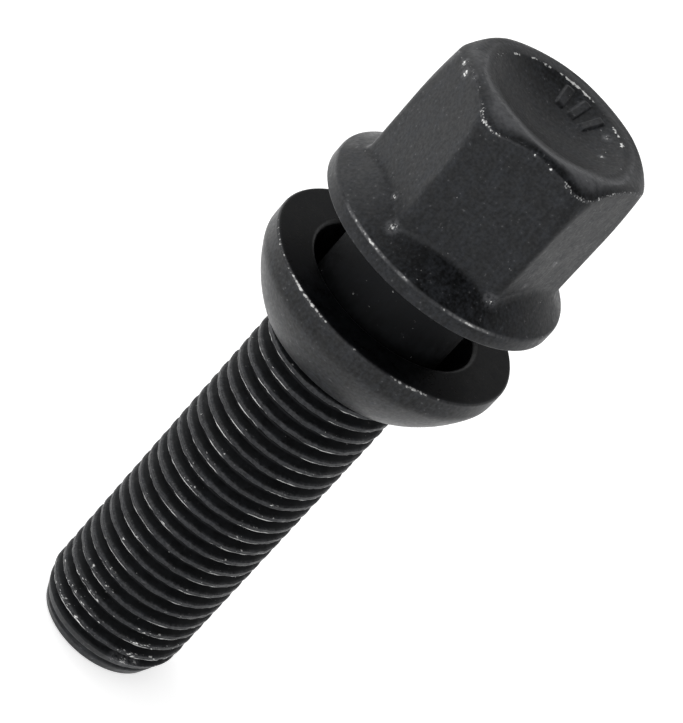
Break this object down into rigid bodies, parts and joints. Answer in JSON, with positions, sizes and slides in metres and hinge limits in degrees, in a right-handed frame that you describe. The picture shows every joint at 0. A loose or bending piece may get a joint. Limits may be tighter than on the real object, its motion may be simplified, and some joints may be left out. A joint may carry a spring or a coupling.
{
  "type": "wheel bolt",
  "caption": "Black steel wheel bolt with a dished hexagon flange head, a fine-thread shank and a loose ball-seat collar trapped on its neck.",
  "frame": {"origin": "centre of the end face of the thread's point, on which the bolt stands", "axes": "+Z along the bolt's axis from the point to the head; two flats of the hexagon are square to Y"},
  "size_m": [0.024, 0.024, 0.0666],
  "materials": {
    "black_forged_steel": "satin black coat on forged and rolled steel, worn bright on the edges",
    "black_turned_steel": "satin black coat on turned steel, worn bright on the upper edge"
  },
  "bodies": {
    "bolt": {"bolt": "black_forged_steel"},
    "collar": {"collar": "black_turned_steel"}
  },
  "joints": [
    {"name": "collar_slide", "type": "slide", "parent": "bolt", "child": "collar", "axis": [0, 0, 1], "range_m": [0, 0.00595]}
  ]
}
